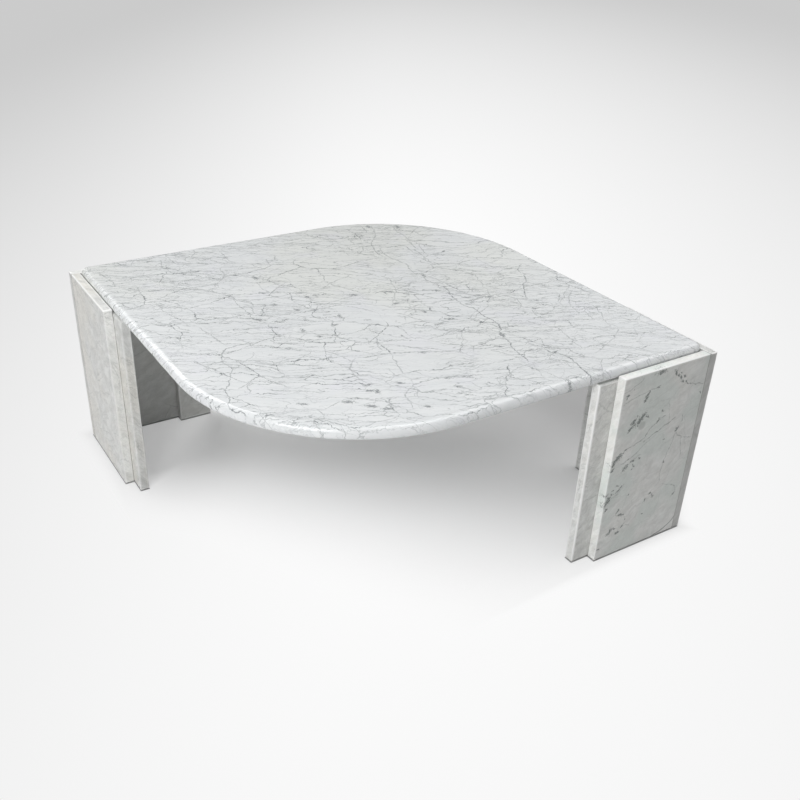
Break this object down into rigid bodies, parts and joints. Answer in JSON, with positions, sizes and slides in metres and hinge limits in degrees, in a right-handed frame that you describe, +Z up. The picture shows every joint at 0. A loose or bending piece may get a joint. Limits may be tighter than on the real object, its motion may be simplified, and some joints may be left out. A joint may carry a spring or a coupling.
{
  "type": "coffee table",
  "caption": "Low marble table with an eye-shaped round-edged top, pointed left and right and rounded front and back, resting loose in the rims of L-shaped corner legs.",
  "frame": {"origin": "on the floor, under the middle of the top", "axes": "+X from the left point to the right point, +Y from the front rounded corner to the back one, +Z up"},
  "size_m": [1.412, 1.0524, 0.445],
  "materials": {
    "top_marble": "polished white marble with grey veins",
    "leg_marble": "honed white marble with grey veins",
    "stone_glue": "cured stone glue, tinted grey",
    "pin_steel": "stainless rod",
    "pad_felt": "pressed grey felt"
  },
  "bodies": {
    "legs": {"left_leg_back_outer_slab": "leg_marble", "left_leg_front_outer_slab": "leg_marble", "left_leg_back_inner_slab": "leg_marble", "left_leg_front_inner_slab": "leg_marble", "left_leg_corner_seam": "stone_glue", "left_leg_back_face_seam": "stone_glue", "left_leg_front_face_seam": "stone_glue", "left_leg_corner_pins": "pin_steel", "left_leg_floor_pads": "pad_felt", "right_leg_back_outer_slab": "leg_marble", "right_leg_front_outer_slab": "leg_marble", "right_leg_back_inner_slab": "leg_marble", "right_leg_front_inner_slab": "leg_marble", "right_leg_corner_seam": "stone_glue", "right_leg_back_face_seam": "stone_glue", "right_leg_front_face_seam": "stone_glue", "right_leg_corner_pins": "pin_steel", "right_leg_floor_pads": "pad_felt"},
    "top": {"table_top": "top_marble"}
  },
  "joints": [
    {"name": "top_lift", "type": "slide", "parent": "legs", "child": "top", "axis": [0, 0, 1], "range_m": [0, 0.1]}
  ]
}
